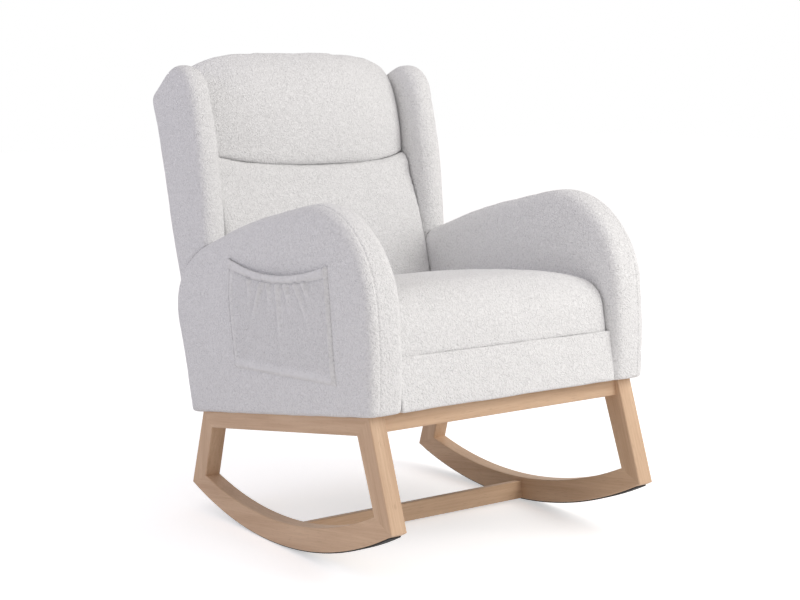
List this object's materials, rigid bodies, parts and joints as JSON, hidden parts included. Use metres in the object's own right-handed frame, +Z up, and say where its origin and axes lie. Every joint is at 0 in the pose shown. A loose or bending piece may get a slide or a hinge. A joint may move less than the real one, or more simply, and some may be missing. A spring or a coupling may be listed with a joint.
{
  "type": "rocking chair with footrest",
  "caption": "Upholstered wingback rocking chair on a mitred wooden rocker base, with side pockets and a padded footrest that slides out from under the seat.",
  "frame": {"origin": "On the floor, under the centre of the box round the chair at rest with the footrest pushed in", "axes": "+X is to the right as seen from the front, -Y is the front, +Z is up; the chair is leaned back on its rockers to where it rests"},
  "size_m": [0.688, 0.9344, 0.9723],
  "materials": {
    "light_wood": "clear satin lacquer on light hardwood",
    "inner_wood": "sawn softwood",
    "inner_board": "plain plywood",
    "dowel_wood": "plain beech",
    "boucle": "off-white looped pile cloth",
    "webbing": "woven elastic webbing",
    "dust_cloth": "thin black non-woven cloth",
    "zinc_steel": "bright zinc plate",
    "grip_rubber": "matt black rubber"
  },
  "bodies": {
    "chair": {"arm_bolts": "zinc_steel", "back_bottom_rail": "inner_wood", "back_cushion": "boucle", "back_middle_rail": "inner_wood", "back_top_rail": "inner_wood", "back_webbing": "webbing", "corner_brackets": "zinc_steel", "dust_cover": "dust_cloth", "front_cross_rail": "light_wood", "front_seat_rail": "inner_wood", "head_cushion": "boucle", "left_arm_frame": "inner_board", "left_arm_pad": "boucle", "left_back_post": "inner_wood", "left_front_leg": "light_wood", "left_grip_strip": "grip_rubber", "left_rear_leg": "light_wood", "left_rocker": "light_wood", "left_seat_side_rail": "inner_wood", "left_side_pocket": "boucle", "left_slide_channel": "zinc_steel", "left_top_rail": "light_wood", "left_wing_frame": "inner_board", "left_wing_pad": "boucle", "mitre_dowels": "dowel_wood", "rear_cover": "boucle", "rear_cross_rail": "light_wood", "rear_seat_rail": "inner_wood", "right_arm_frame": "inner_board", "right_arm_pad": "boucle", "right_back_post": "inner_wood", "right_front_leg": "light_wood", "right_grip_strip": "grip_rubber", "right_rear_leg": "light_wood", "right_rocker": "light_wood", "right_seat_side_rail": "inner_wood", "right_side_pocket": "boucle", "right_slide_channel": "zinc_steel", "right_top_rail": "light_wood", "right_wing_frame": "inner_board", "right_wing_pad": "boucle", "rocker_stretcher": "light_wood", "seat_bolts": "zinc_steel", "seat_cushion": "boucle", "seat_webbing": "webbing", "stretcher_dowels": "dowel_wood", "wing_bolts": "zinc_steel"},
    "footrest": {"footrest_board": "inner_board", "footrest_front_board": "inner_board", "footrest_front_panel": "boucle", "footrest_pad": "boucle", "left_footrest_side": "inner_board", "left_slide_runner": "zinc_steel", "right_footrest_side": "inner_board", "right_slide_runner": "zinc_steel"}
  },
  "joints": [
    {"name": "footrest_slide", "type": "slide", "parent": "chair", "child": "footrest", "axis": [0, -0.9873, 0.159], "range_m": [0, 0.3]}
  ]
}
